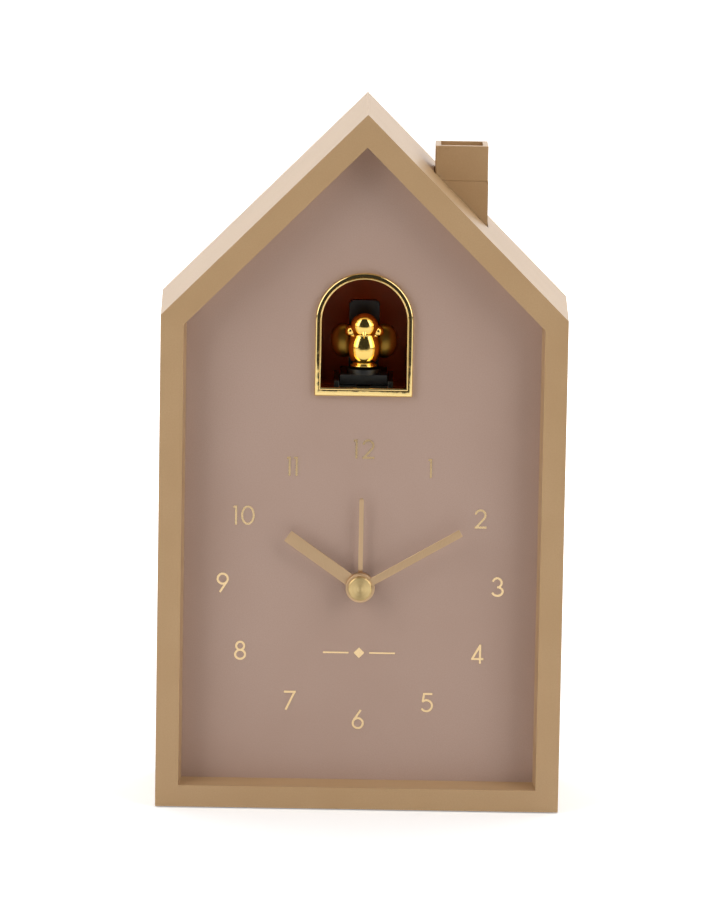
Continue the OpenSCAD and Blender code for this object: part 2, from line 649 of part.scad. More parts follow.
module centre_wheel() color("#d9c7a0") difference() {
  slab(plate_y + 1.2, plate_y + 2) translate(axis) gear2d(centre_teeth, centre_m, 0);
  ybar(arbor_r + run, 0, hand_z, plate_y, plate_y + 4);
}
module third_wheel() color("#d9c7a0") {
  slab(plate_y + 1, plate_y + 2.7) translate(third_at) gear2d(small_teeth, centre_m, third_turn);
  slab(plate_y + 2.7, plate_y + 3.4) translate(third_at) gear2d(third_teeth, fine_m, third_turn);
  arbor(third_at, plate_y + 0.1);
}
module seconds_wheel() color("#d9c7a0") {
  slab(plate_y + 2.5, plate_y + 4.2) translate(seconds_at) gear2d(small_teeth, fine_m, seconds_turn);
  slab(plate_y + 4.2, plate_y + 4.9) translate(seconds_at) gear2d(seconds_teeth, fine_m, seconds_turn);
  arbor(seconds_at, plate_y + 0.1);
}
module step_wheel() color("#e8e4da") {
  slab(plate_y + 4, plate_y + 5.7) translate(step_at) gear2d(step_pinion_teeth, fine_m, step_turn);
  slab(plate_y + 5.7, plate_y + 6.4) translate(step_at) gear2d(step_teeth, fine_m, step_turn);
  arbor(step_at, plate_y + 0.1);
}
module step_rotor() color("#9aa0a6") {
  slab(plate_y + 4.8, plate_y + 6.6) translate(rotor_at) gear2d(small_teeth, fine_m, rotor_turn);
  ybar(3, rotor_at[0], rotor_at[1], plate_y + 3, plate_y + 4.8);
  arbor(rotor_at, plate_y + 0.1);
}
module stator() color("#a8adb2") difference() {
  slab(plate_y + 3.2, plate_y + 4) translate([11.2, hand_z - 2]) square([13.2, 20]);
  ybar(3.3, rotor_at[0], rotor_at[1], plate_y + 2, plate_y + 5);
  ybar(1.4, step_at[0], step_at[1], plate_y + 2, plate_y + 5);
}
module step_coil() color("#b5622f") {
  translate([21.8, plate_y + 6.1, hand_z]) cylinder(r = 1.8, h = 16, $fn = 48);
  for (z = [0, 15.2]) translate([19.9, plate_y + 4, hand_z + z]) cube([3.8, 4, 0.8]);
}
module movement_board() color("#2f6b46") {
  box(-24, -9, plate_y + 4, plate_y + 4.8, hand_z + 2, hand_z + 22);
  box(-19, -14, plate_y + 4.8, plate_y + 5.8, hand_z + 10, hand_z + 15);
}

/* Setting knobs: pinion, stem and knob in one piece */

module knob(at, y_pinion, turn, pivot_y) {
  slab(y_pinion, y_pinion + 1.2) translate(at) gear2d(stem_teeth, motion_m, turn);
  ybar(0.8, at[0], at[1], pivot_y, y_pinion);
  ybar(1.5, at[0], at[1], y_pinion + 1.2, knob_y[0]);
  difference() {
    ybar(knob_r, at[0], at[1], knob_y[0], knob_y[1]);
    for (k = [0 : flutes - 1]) let (p = polar(at, 360 / flutes * k, knob_r + 0.15))
      ybar(0.5, p[0], p[1], knob_y[0] + 0.8, knob_y[1] + 1);
  }
}
module time_knob() color("#26282a") knob(time_at, motion_y, time_turn, motion_y - 1.2);
module alarm_knob() color("#26282a") knob(alarm_at, alarm_y - 0.1, alarm_stem_turn, case_y + 0.8);

/* Chimney: stack with flange and rod, pot with an open recess, spring, board and tact switch */

module chimney_stack() color("#b59266") {
  chimney_block(0, flange_top - flange_t, seam_z);
  chimney_block(1.4, flange_top - flange_t, flange_top);
  translate([chimney_x, chimney_y, rod_low]) cylinder(r = rod_r, h = flange_top - rod_low, $fn = 48);
}
module chimney_pot() color("#b59266") difference() {
  chimney_block(-0.12, seam_z, chimney_top);
  chimney_block(-pot_wall, chimney_top - 5, chimney_top + 1);
}
module snooze_spring() color("#b8bcc0") translate([chimney_x, chimney_y, snooze_z + snooze_board_t])
  coil(4.4, 0.3, flange_top - flange_t - snooze_z - snooze_board_t, 5);
module snooze_board() color("#2f6b46")
  box(chimney_x - 9, chimney_x + 9, chimney_y - 7.5, chimney_y + 7.5, snooze_z, snooze_z + snooze_board_t);
module snooze_switch() color("#303234") {
  box(chimney_x - tact_half, chimney_x + tact_half, chimney_y - tact_half, chimney_y + tact_half,
    snooze_z + snooze_board_t, switch_top - 1);
  translate([chimney_x, chimney_y, switch_top - 1]) cylinder(r = 1.6, h = 1, $fn = 48);
}

/* Back: cover with knob cups, grille and slots, screws, battery bay and door */

cover_in = wall + skin(cover_y) + 0.3;
module back_cover() color("#b08d62") difference() {
  union() {
    slab(cover_y, cover_back) polygon(house(cover_in, wall + 0.3));
    for (p = [time_at, alarm_at]) ybar(cup_r, p[0], p[1], cover_y - cup_depth, cover_y + 1);
    for (p = switch_at) box(p[0] - slot_w / 2 - 1.2, p[0] + slot_w / 2 + 1.2, cover_y - 1, cover_y + 1,
      p[1] - slot_h / 2 - 1.2, p[1] + slot_h / 2 + 1.2);
  }
  for (p = [time_at, alarm_at]) {
    ybar(cup_r - 1.4, p[0], p[1], cover_y - cup_depth + 1.4, cover_back + 1);
    ybar(1.9, p[0], p[1], cover_y - cup_depth - 1, cover_y);
  }
  box(door[0] - door_gap, door[1] + door_gap, cover_y - 1, cover_back + 1,
    door[2] - door_gap, door[3] + door_gap);
  for (p = switch_at) box(p[0] - slot_w / 2, p[0] + slot_w / 2, cover_y - 2, cover_back + 1,
    p[1] - slot_h / 2, p[1] + slot_h / 2);
  for (ring = [0 : 3]) for (k = [0 : max(6 * ring - 1, 0)])
    let (p = polar(speaker_at, ring == 0 ? 0 : 60 * k / ring, grille_pitch * ring))
      ybar(grille_r, p[0], p[1], cover_y - 1, cover_back + 1);
  for (p = screw_at) {
    ybar(screw_r + 0.3, p[0], p[1], cover_y - 1, cover_back + 1);
    ybar(2.5, p[0], p[1], cover_back - 1.1, cover_back + 1);
  }
}
module cover_screws() color("#9aa0a6") for (p = screw_at) difference() {
  union() {
    ybar(2.3, p[0], p[1], cover_back - 1.1, cover_back - 0.1);
    ybar(screw_r - 0.25, p[0], p[1], cover_y - 8, cover_back - 1.1);
  }
  for (a = [0, 90]) translate([p[0], cover_back - 0.7, p[1]]) rotate([0, a, 0])
    cube([2.6, 2, 0.5], center = true);
}
module battery_door() color("#b08d62") {
  difference() {
    box(door[0], door[1], cover_y, cover_back, door[2], door[3]);
    for (k = [-2 : 2]) box(-7, 7, cover_back - 0.5, cover_back + 1, 33 + k * 1.5, 33.7 + k * 1.5);
  }
  for (x = [-20, 20]) box(x - 3, x + 3, cover_y - 1.6, cover_y, door[2] + 1.2, door[2] + 2.6);
  box(-5, 5, cover_y - 1.6, cover_y, door[3] - 2.8, door[3] - 1.6);
}
module battery_box() color("#303234") difference() {
  box(bay[0], bay[1], bay_y, cover_y - 0.1, bay[2], bay[3]);
  box(bay[0] + bay_t, bay[1] - bay_t, bay_y + bay_t, cover_y + 1, bay[2] + bay_t, bay[3] - bay_t);
}
module battery_cells() color("#3f5f52") for (k = [0, 1]) {
  dir = k == 0 ? 1 : -1;
  xbar(cell_r, cell_y, cell_z[k], -cell_len / 2, cell_len / 2);
  nub = dir > 0 ? [cell_len / 2, cell_len / 2 + 1.2] : [-cell_len / 2 - 1.2, -cell_len / 2];
  xbar(2.7, cell_y, cell_z[k], nub[0], nub[1]);
}
spring_room = bay[1] - bay_t - 0.5 - cell_len / 2;
module contact_springs() color("#c8ccd0") for (k = [0, 1]) {
  side = k == 0 ? -1 : 1;
  translate([side * (bay[1] - bay_t - 0.5), cell_y, cell_z[k]]) rotate([0, -side * 90, 0])
    coil(3.2, 0.35, spring_room, 4);
}
module contact_plates() color("#c8ccd0") for (k = [0, 1]) for (side = [-1, 1]) {
  x = side * (bay[1] - bay_t - 0.25);
  box(x - 0.25, x + 0.25, cell_y - 5, cell_y + 5, cell_z[k] - 5, cell_z[k] + 5);
  if (side == (k == 0 ? 1 : -1)) {
    x0 = cell_len / 2 + 1.3;
    x1 = bay[1] - bay_t - 0.5;
    box(side > 0 ? x0 : -x1, side > 0 ? x1 : -x0, cell_y - 3, cell_y + 3, cell_z[k] - 3, cell_z[k] + 3);
  }
}

/* Sound board with its slide switches, and the speaker */

module sound_board() color("#2f6b46") difference() {
  union() {
    box(board[0], board[1], board_y, board_y + board_t, board[2], board[3]);
    box(-22, -12, board_y - 1.4, board_y, 74, 84);
    box(18, 26, board_y - 1.1, board_y, 70, 76);
    for (x = [-30, 30]) ybar(3, x, 55, board_y - 7, board_y);
  }
  for (p = [time_at, alarm_at]) ybar(2.4, p[0], p[1], board_y - 1, board_y + board_t + 1);
}
module switch_bodies() color("#b8bcc0") for (p = switch_at) difference() {
  box(p[0] - 5, p[0] + 5, board_y + board_t, cover_y - 1.2, p[1] - 3, p[1] + 3);
  box(p[0] - 3.9, p[0] + 3.9, board_y + board_t + 1.5, cover_y, p[1] - 1.8, p[1] + 1.8);
}
module slider(p) {
  x = p[0] - slide_travel / 2;
  box(x - slider_half[0], x + slider_half[0], board_y + board_t + 1.8, back_y - 0.6,
    p[1] - slider_half[1], p[1] + slider_half[1]);
}
module alarm_slider() color("#e2ddd2") slider(switch_at[0]);
module sound_slider() color("#e2ddd2") slider(switch_at[1]);
module speaker_frame() color("#303234")
  translate([speaker_at[0], cover_y, speaker_at[1]]) rotate([90, 0, 0]) difference() {
    union() {
      cylinder(r = speaker_r, h = 1.6, $fn = 96);
      cylinder(r = speaker_r - 1.5, h = 5, $fn = 96);
      cylinder(r = 8, h = 11, $fn = 64);
    }
    translate([0, 0, -1]) cylinder(r = speaker_r - 2.6, h = 4.6, $fn = 96);
  }
module speaker_cone() color("#3c3a38")
  translate([speaker_at[0], cover_y - 3.3, speaker_at[1]]) rotate([-90, 0, 0]) rotate_extrude($fn = 96)
    polygon([[0, 0], [4, 0], [14.6, 2.2], [15.2, 2.2], [15.2, 2.5], [14.5, 2.5], [4.2, 0.5],
      [3, 1], [0, 1.2]]);

house_shell();
dial_plate();
dial_numerals();
dial_ornament();
window_frame();
cuckoo_chamber();
guide_rail();
bird_carriage();
bird_body();
bird_wings();
bird_plinth();
drive_bracket();
drive_pinion();
idler_gear();
motor_pinion();
bird_motor();
home_switch();
alarm_hand();
hour_hand();
minute_hand();
hand_cap();
movement_front();
movement_rear();
movement_plate();
alarm_wheel();
hour_wheel();
minute_arbor();
motion_wheel();
centre_wheel();
third_wheel();
seconds_wheel();
step_wheel();
step_rotor();
stator();
step_coil();
movement_board();
time_knob();
alarm_knob();
chimney_stack();
chimney_pot();
snooze_spring();
snooze_board();
snooze_switch();
back_cover();
cover_screws();
battery_door();
battery_box();
battery_cells();
contact_springs();
contact_plates();
sound_board();
switch_bodies();
alarm_slider();
sound_slider();
speaker_frame();
speaker_cone();
rubber_feet();
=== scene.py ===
"""Looks of the house-shaped cuckoo alarm clock: its finishes, the plated window frame, the plated bird and
the studio it stands in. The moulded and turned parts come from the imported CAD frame."""

import math

import bmesh
import bpy
from mathutils import Matrix, Quaternion, Vector


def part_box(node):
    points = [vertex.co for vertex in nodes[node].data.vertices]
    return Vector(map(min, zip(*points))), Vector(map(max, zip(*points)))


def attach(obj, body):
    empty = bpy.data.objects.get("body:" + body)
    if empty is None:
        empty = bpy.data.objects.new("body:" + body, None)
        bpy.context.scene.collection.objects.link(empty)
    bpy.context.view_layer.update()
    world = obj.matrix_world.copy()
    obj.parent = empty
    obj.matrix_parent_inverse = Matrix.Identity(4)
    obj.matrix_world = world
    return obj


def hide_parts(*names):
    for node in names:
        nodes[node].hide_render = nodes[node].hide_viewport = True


MM = 0.001
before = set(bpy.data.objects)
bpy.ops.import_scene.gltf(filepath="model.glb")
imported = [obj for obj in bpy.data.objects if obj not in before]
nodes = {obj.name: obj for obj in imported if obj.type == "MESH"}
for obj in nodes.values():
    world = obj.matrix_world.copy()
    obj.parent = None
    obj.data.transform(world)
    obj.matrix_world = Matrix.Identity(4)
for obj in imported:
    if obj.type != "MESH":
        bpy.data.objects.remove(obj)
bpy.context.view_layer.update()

# ---------------------------------------------------------------------------------------------------------
# Places, from the frame

window_low, window_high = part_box("window_frame")
cap_low, cap_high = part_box("hand_cap")
body_low, body_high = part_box("bird_body")
wings_front_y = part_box("bird_wings")[0].y
front_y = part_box("house_shell")[0].y
ARBOR_Z = (cap_low.z + cap_high.z) / 2

# ---------------------------------------------------------------------------------------------------------
# Materials


def linear(code):
    """An sRGB hex colour as the linear colour that a shader takes."""
    parts = [int(code[i : i + 2], 16) / 255 for i in (1, 3, 5)]
    return (*(c / 12.92 if c <= 0.04045 else ((c + 0.055) / 1.055) ** 2.4 for c in parts), 1)


def add(tree, kind, sockets=None, **settings):
    """Adds a node with its settings. A socket takes a value, or a node or an output to link from."""
    made = tree.nodes.new(kind)
    for name, value in settings.items():
        setattr(made, name, value)
    for name, value in (sockets or {}).items():
        if isinstance(value, bpy.types.Node):
            value = value.outputs[0]
        if isinstance(value, bpy.types.NodeSocket):
            tree.links.new(value, made.inputs[name])
        else:
            made.inputs[name].default_value = value
    return made


def begin(name):
    """An empty material, its node tree, and the place on the part in metres."""
    material = bpy.data.materials.new(name)
    material.use_nodes = True
    tree = material.node_tree
    tree.nodes.clear()
    place = add(tree, "ShaderNodeTexCoord").outputs["Object"]
    return material, tree, place


def end(tree, **sockets):
    """The surface itself, from its sockets' values and links."""
    names = {name.replace("_", " "): value for name, value in sockets.items()}
    surface = add(tree, "ShaderNodeBsdfPrincipled", names)
    add(tree, "ShaderNodeOutputMaterial", {"Surface": surface})


def per(size_mm):
    """Texture scale that makes one feature of that size."""
    return 1 / (size_mm * MM)


def noise(tree, place, size_mm, detail):
    """Even noise with features of that size."""
    return add(tree, "ShaderNodeTexNoise", {"Vector": place, "Scale": per(size_mm), "Detail": detail})


def tint(tree, share, dark, light):
    """A colour from dark to light, by a share from 0 to 1."""
    return add(tree, "ShaderNodeMixRGB", {"Fac": share, "Color1": linear(dark), "Color2": linear(light)})


def between(tree, share, low, high):
    """A value from low to high, by a share from 0 to 1."""
    return add(tree, "ShaderNodeMapRange", {"Value": share, "To Min": low, "To Max": high})


def relief(tree, height, depth_mm, strength):
    """The surface's fine relief, with its depth in millimetres."""
    return add(tree, "ShaderNodeBump", {"Height": height, "Distance": depth_mm * MM, "Strength": strength})


def calc(tree, operation, *values):
    """One step of arithmetic."""
    return add(tree, "ShaderNodeMath", dict(enumerate(values)), operation=operation)


def moulded(name, dark, light, rough, grain_mm=0.5, grain_depth=0.02, ior=1.53, coat=0.0):
    """A moulded plastic: the tool's spark-eroded grain, and a faint clouding as long as the melt's flow."""
    material, tree, place = begin(name)
    grain = noise(tree, place, grain_mm, 3)
    flow = noise(tree, place, 24, 2)
    both = calc(tree, "MULTIPLY", grain, flow)
    clouds = add(tree, "ShaderNodeMapRange", {"Value": both, "From Min": 0.12, "From Max": 0.40})
    colour = tint(tree, clouds, dark, light)
    levels = {"Value": grain, "From Min": 0.3, "From Max": 0.7, "To Min": rough - 0.05, "To Max": rough + 0.05}
    gloss = add(tree, "ShaderNodeMapRange", levels)
    bump = relief(tree, grain, grain_depth, 0.7)
    end(tree, Base_Color=colour, Roughness=gloss, IOR=ior, Normal=bump, Coat_Weight=coat, Coat_Roughness=0.25)
    return material


def metal(name, dark, light, rough, stretch=(1, 1, 1)):
    """A rolled, drawn or stamped metal: fine lines, drawn out along the axes where stretch is under one."""
    material, tree, place = begin(name)
    drawn = add(tree, "ShaderNodeMapping", {"Vector": place, "Scale": stretch})
    lines = noise(tree, drawn, 0.3, 2)
    tarnish = noise(tree, place, 6, 4)
    colour = tint(tree, tarnish, dark, light)
    gloss = between(tree, lines, rough - 0.06, rough + 0.08)
    bump = relief(tree, lines, 0.004, 0.6)
    end(tree, Base_Color=colour, Metallic=1.0, Roughness=gloss, Normal=bump)
    return material


def about_arbor(tree, place):
    """Angle about the hands' arbor, distance from it in millimetres, and the unit vector away from it."""
    flat = add(tree, "ShaderNodeVectorMath", {0: place, 1: (0, 0, -ARBOR_Z)}, operation="ADD")
    flat = add(tree, "ShaderNodeVectorMath", {0: flat, 1: (1 / MM, 0, 1 / MM)}, operation="MULTIPLY")
    parts = add(tree, "ShaderNodeSeparateXYZ", {"Vector": flat})
    angle = calc(tree, "ARCTAN2", parts.outputs["X"], parts.outputs["Z"])
    distance = add(tree, "ShaderNodeVectorMath", {0: flat}, operation="LENGTH").outputs["Value"]
    away = add(tree, "ShaderNodeVectorMath", {0: flat}, operation="NORMALIZE")
    return angle, distance, away


def tan_abs():
    """Tan ABS, moulded in a spark-eroded tool: an even satin face over a fine dull grain."""
    return moulded("tan_abs_moulded", "#b7946a", "#bd9b72", 0.4)


def dial_lacquer():
    """Dusty pink lacquer sprayed on the dial plate: dead flat, with a fine overspray speckle."""
    material, tree, place = begin("dial_lacquer_sprayed")
    speck = noise(tree, place, 0.4, 4)
    sweep = noise(tree, place, 40, 2)
    both = calc(tree, "MULTIPLY", speck, sweep)
    spread = add(tree, "ShaderNodeMapRange", {"Value": both, "From Min": 0.12, "From Max": 0.40})
    colour = tint(tree, spread, "#b39788", "#b99e90")
    bump = relief(tree, speck, 0.012, 0.6)
    end(tree, Base_Color=colour, Roughness=0.62, IOR=1.5, Specular_IOR_Level=0.3, Normal=bump)
    return material


def gold_foil():
    """Pale gold foil, hot-stamped on the lacquer: a thin mirror that takes the lacquer's faint orange peel."""
    material, tree, place = begin("gold_foil_hot_stamped")
    peel = noise(tree, place, 0.8, 2)
    worn = noise(tree, place, 0.25, 3)
    colour = tint(tree, worn, "#e0c090", "#ecd0a4")
    gloss = between(tree, worn, 0.06, 0.13)
    bump = relief(tree, peel, 0.004, 0.4)
    end(tree, Base_Color=colour, Metallic=1.0, Roughness=gloss, Normal=bump)
    return material


def gold_plating(name, tone, bright_tone, haze_low, haze_high):
    """Gold vacuum-plated on polished ABS: a clear mirror, with the slow waviness of the moulding under it."""
    material, tree, place = begin(name)
    wave = noise(tree, place, 2.5, 1)
    haze = noise(tree, place, 0.6, 3)
    colour = tint(tree, haze, tone, bright_tone)
    gloss = between(tree, haze, haze_low, haze_high)
    bump = relief(tree, wave, 0.03, 0.5)
    end(tree, Base_Color=colour, Metallic=1.0, Roughness=gloss, Normal=bump)
    return material


def satin_plating_painted_shade():
    """The same plating over the wings' etched moulding, its reflections drawn soft; its colour is darker as
    painted shade, for wings that sit back in shadow.
    """
    material, tree, place = begin("gold_plating_etched_painted_shade")
    etch = noise(tree, place, 0.35, 3)
    # Painted shade: this tint is a darkened copy of the figure's gold, brown-gold because the wings sit in
    # shadow behind the bird.
    colour = tint(tree, etch, "#8a6a2c", "#9c7b38")
    gloss = between(tree, etch, 0.28, 0.4)
    bump = relief(tree, etch, 0.01, 0.5)
    end(tree, Base_Color=colour, Metallic=1.0, Roughness=gloss, Normal=bump)
    return material


def brushed_hands():
    """Brass hands, brushed lengthwise under a satin gold lacquer, so each catches light across its length."""
    material, tree, place = begin("brass_brushed_lengthwise")
    angle, distance, away = about_arbor(tree, place)
    # The brush marks are 0.1 mm apart on the real hands, and twice that here so that they show.
    across = calc(tree, "MULTIPLY", angle, distance)
    marks = add(tree, "ShaderNodeCombineXYZ", {"X": across, "Y": distance})
    marks = add(tree, "ShaderNodeMapping", {"Vector": marks, "Scale": (5, 0.12, 1)})
    lines = add(tree, "ShaderNodeTexNoise", {"Vector": marks, "Scale": 1.0, "Detail": 3})
    colour = tint(tree, lines, "#d6b289", "#e6c69f")
    gloss = between(tree, lines, 0.3, 0.48)
    bump = relief(tree, lines, 0.01, 0.5)
    crosswise = add(tree, "ShaderNodeVectorMath", {0: away, 1: (0, 1, 0)}, operation="CROSS_PRODUCT")
    end(
        tree,
        Base_Color=colour,
        Metallic=1.0,
        Roughness=gloss,
        Anisotropic=0.6,
        Tangent=crosswise,
        Normal=bump,
    )
    return material


def turned_cap():
    """The brass cap, faced on a lathe: rings too fine to see draw each light out into rays."""
    material, tree, place = begin("brass_turned_cap")
    angle, distance, away = about_arbor(tree, place)
    # The tool's feed is 0.05 mm a turn; the tint's slower rings stand for it, 0.5 mm apart.
    marks = add(tree, "ShaderNodeCombineXYZ", {"X": distance, "Y": angle})
    marks = add(tree, "ShaderNodeMapping", {"Vector": marks, "Scale": (2, 0.1, 1)})
    rings = add(tree, "ShaderNodeTexNoise", {"Vector": marks, "Scale": 1.0, "Detail": 1})
    colour = tint(tree, rings, "#dcbc80", "#ecd29c")
    gloss = between(tree, rings, 0.3, 0.36)
    end(tree, Base_Color=colour, Metallic=1.0, Roughness=gloss, Anisotropic=0.97, Tangent=away)
    return material


def copper_winding():
    """Enamelled copper wire in even turns round its bobbin, under a clear coat of bonding varnish."""
    material, tree, place = begin("copper_wire_wound")
    # The wire is 0.03 mm thick; its turns are drawn 0.3 mm apart so that they show.
    turns = add(
        tree,
        "ShaderNodeTexWave",
        {"Vector": place, "Scale": per(0.3) / (2 * math.pi), "Distortion": 0.6, "Detail": 2},
        bands_direction="DIAGONAL",
    )
    colour = tint(tree, turns.outputs["Fac"], "#7d3c17", "#c47a45")
    bump = add(tree, "ShaderNodeBump", {"Height": turns.outputs["Fac"], "Distance": 0.08 * MM})
    end(tree, Base_Color=colour, Metallic=0.85, Roughness=0.35, Coat_Weight=0.5, Normal=bump)
    return material


def solder_mask():
    """Green solder mask printed over a woven glass laminate, whose weave shows through as a soft check."""
    material, tree, place = begin("solder_mask_on_laminate")
    weave = add(
        tree,
        "ShaderNodeTexVoronoi",
        {"Vector": place, "Scale": per(0.6), "Randomness": 0.15},
        distance="CHEBYCHEV",
    )
    colour = tint(tree, weave.outputs["Distance"], "#2a6544", "#3b7a56")
    bump = add(tree, "ShaderNodeBump", {"Height": weave.outputs["Distance"], "Distance": 0.02 * MM})
    end(tree, Base_Color=colour, Roughness=0.3, IOR=1.5, Coat_Weight=0.4, Normal=bump)
    return material


def cone_paper():
    """Pressed pulp of the speaker cone: short fibres laid every way, quite dull."""
    material, tree, place = begin("paper_pulp_pressed")
    fibres = add(
        tree,
        "ShaderNodeTexNoise",
        {"Vector": place, "Scale": per(0.5), "Detail": 6, "Roughness": 0.7, "Distortion": 2.0},
    )
    colour = tint(tree, fibres, "#34302e", "#4a4542")
    bump = add(tree, "ShaderNodeBump", {"Height": fibres, "Distance": 0.06 * MM})
    end(tree, Base_Color=colour, Roughness=0.9, IOR=1.45, Sheen_Weight=0.2, Normal=bump)
    return material


FINISHES = {
    "tan_abs": tan_abs(),
    "dial_card": dial_lacquer(),
    "gold_print": gold_foil(),
    "gold_plated": gold_plating("gold_plating_on_abs", "#f3d48c", "#fee09b", 0.03, 0.07),
    "brushed_gold": brushed_hands(),
    # The chamber is the same ABS in a rust-brown colour, and the black parts take carbon black.
    "chamber_abs": moulded("chamber_abs_moulded", "#b45919", "#bd6220", 0.5),
    "black_abs": moulded("black_abs_moulded", "#0c0c0c", "#151514", 0.42),
    # Acetal is self-coloured and waxy, so its faces are smoother than the ABS.
    "acetal": moulded("acetal_moulded", "#dcd8cd", "#ebe7dd", 0.35, grain_mm=0.3, grain_depth=0.006, ior=1.48),
    "wheel_brass": metal("brass_stamped", "#b8934f", "#d8b878", 0.28),
    "steel": metal("steel_turned", "#a9abae", "#c9cbce", 0.3, stretch=(1, 0.1, 1)),
    "spring_steel": metal("steel_spring_nickelled", "#b4b5b6", "#d6d6d4", 0.2, stretch=(0.2, 0.2, 1)),
    "copper_wire": copper_winding(),
    "circuit_board": solder_mask(),
    # The cell's jacket is a plain shrunk film: glossy, with the can's faint ripple under it.
    "cell_jacket": moulded("cell_jacket_shrunk_film", "#36564a", "#466a5c", 0.22, grain_mm=3, coat=0.4),
    "cone_paper": cone_paper(),
    # Rubber is dull, and its grain is coarser than the ABS's.
    "foot_rubber": moulded("rubber_moulded", "#242424", "#313131", 0.8, grain_mm=0.8, ior=1.52),
}


def dress(piece, finish):
    """Gives a piece its one finish."""
    piece.data.materials.clear()
    piece.data.materials.append(finish)


# ---------------------------------------------------------------------------------------------------------
# CAD nodes: finishes and edges

# Edge radius in millimetres that a mould or a lathe leaves on each of these parts.
EDGE_RADII = {
    "house_shell": 0.4,
    "chimney_stack": 0.25,
    "chimney_pot": 0.25,
    "hour_hand": 0.2,
    "minute_hand": 0.2,
    "alarm_hand": 0.24,
    "hand_cap": 0.2,
    "bird_carriage": 0.25,
    "bird_plinth": 0.25,
    "guide_rail": 0.25,
    "battery_door": 0.3,
    "time_knob": 0.15,
    "alarm_knob": 0.15,
    "alarm_slider": 0.15,
    "sound_slider": 0.15,
}
# Bodies made of large flats, whose rounded edges must leave the flats' shading alone.
FLAT_SIDED = {"house_shell", "battery_door"}


def round_edges(piece, radius_mm):
    """Rounds a CAD node's sharp edges: joins the faces, bevels the corners and keeps the flats flat."""
    normals = piece.data.attributes.get("custom_normal")
    if normals:
        piece.data.attributes.remove(normals)
    piece.data.shade_smooth()
    weld = piece.modifiers.new("join_faces", "WELD")
    weld.merge_threshold = 0.002 * MM
    bevel = piece.modifiers.new("edge_radius", "BEVEL")
    bevel.width = radius_mm * MM
    bevel.segments = 3
    bevel.limit_method = "ANGLE"
    bevel.angle_limit = math.radians(40)
    bevel.use_clamp_overlap = True
    bevel.miter_outer = "MITER_ARC"
    if piece.name in FLAT_SIDED:
        bevel.harden_normals = True
    else:
        piece.modifiers.new("flat_faces", "WEIGHTED_NORMAL").weight = 80


for name, node in nodes.items():
    dress(node, FINISHES[node.material_slots[0].material.name])
    if name in EDGE_RADII:
        round_edges(node, EDGE_RADII[name])
dress(nodes["hand_cap"], turned_cap())

# ---------------------------------------------------------------------------------------------------------
# Window frame: one moulding with a round shoulder outside, a flat, a groove, and a bead round the opening

# Widths of the face at the sides and at the foot, radii of the shoulder and the bead, the groove, the outer
# wall's depth, and the neck that reaches in through the dial plate, in millimetres.
FLANGE = 1.9
SILL = 2.6
SHOULDER = 0.65
ROLL = 0.27
GROOVE = 0.04
GROOVE_DEPTH = 0.7
WALL_DEPTH = 1.8
NECK_DEPTH = 4.4
NECK_WALL = 0.6
ARCH_STEPS = 48


def quarter(middle, radius, first, steps):
    """Points over a quarter round of the section, from the first angle on: distance in, and depth."""
    turns = [math.radians(first + 90 * i / steps) for i in range(steps + 1)]
    return [(middle - radius * math.cos(t), radius - radius * math.sin(t)) for t in turns]


def section():
    """The section across one side: distance in from the outer edge and depth behind the front, in mm."""
    bead = FLANGE - ROLL
    shoulder = quarter(SHOULDER, SHOULDER, 0, 16)
    groove = [(bead - ROLL - GROOVE, 0.0), (bead - ROLL, GROOVE_DEPTH)]
    roll = quarter(bead, ROLL, 0, 4) + quarter(bead, ROLL, 90, 4)[1:]
    neck_out = FLANGE - NECK_WALL
    neck = [(FLANGE, NECK_DEPTH), (neck_out, NECK_DEPTH), (neck_out, WALL_DEPTH)]
    return [(0.0, WALL_DEPTH), *shoulder, *groove, *roll, *neck]


def arch_outline(half, bottom, spring):
    """Points of the arch with a square foot, from its left foot over the top to its right foot."""
    feet = [(-half, bottom), (-half, (bottom + spring) / 2)]
    turns = [math.pi * i / ARCH_STEPS for i in range(ARCH_STEPS + 1)]
    over = [(-half * math.cos(t), spring + half * math.sin(t)) for t in turns]
    return feet + over + [(half, (bottom + spring) / 2), (half, bottom), (0, bottom)]


def finished_piece(name, form):
    """Makes an object of a form, smooth all over."""
    mesh = bpy.data.meshes.new(name)
    form.to_mesh(mesh)
    form.free()
    mesh.shade_smooth()
    piece = bpy.data.objects.new(name, mesh)
    bpy.context.scene.collection.objects.link(piece)
    return piece


def window_frame():
    """Sweeps the section round the arch, with a mitre at each foot."""
    half = window_high.x / MM
    spring = window_high.z / MM - half
    form = bmesh.new()
    rings = []
    for inset, depth in section():
        outline = arch_outline(half - inset, window_low.z / MM + inset * SILL / FLANGE, spring)
        rings.append([form.verts.new((x * MM, window_low.y + depth * MM, z * MM)) for x, z in outline])
    count = len(rings[0])
    for a, b in zip(rings, rings[1:] + rings[:1]):
        for i in range(count):
            form.faces.new((a[i], a[(i + 1) % count], b[(i + 1) % count], b[i]))
    bmesh.ops.recalc_face_normals(form, faces=form.faces)
    return finished_piece("window_frame_moulding", form)


moulding = window_frame()
moulding.data.set_sharp_from_angle(angle=math.radians(35))
dress(moulding, FINISHES["gold_plated"])
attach(moulding, "house")
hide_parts("window_frame")

# ---------------------------------------------------------------------------------------------------------
# Bird: one plated moulding, blended from rounded masses, with wings behind it

WINGS_BEHIND = 5.0  # from the figure's middle back to the front of the wings' plate, in mm
bird_foot = Vector(((body_low.x + body_high.x) / 2, wings_front_y - WINGS_BEHIND * MM, body_low.z))

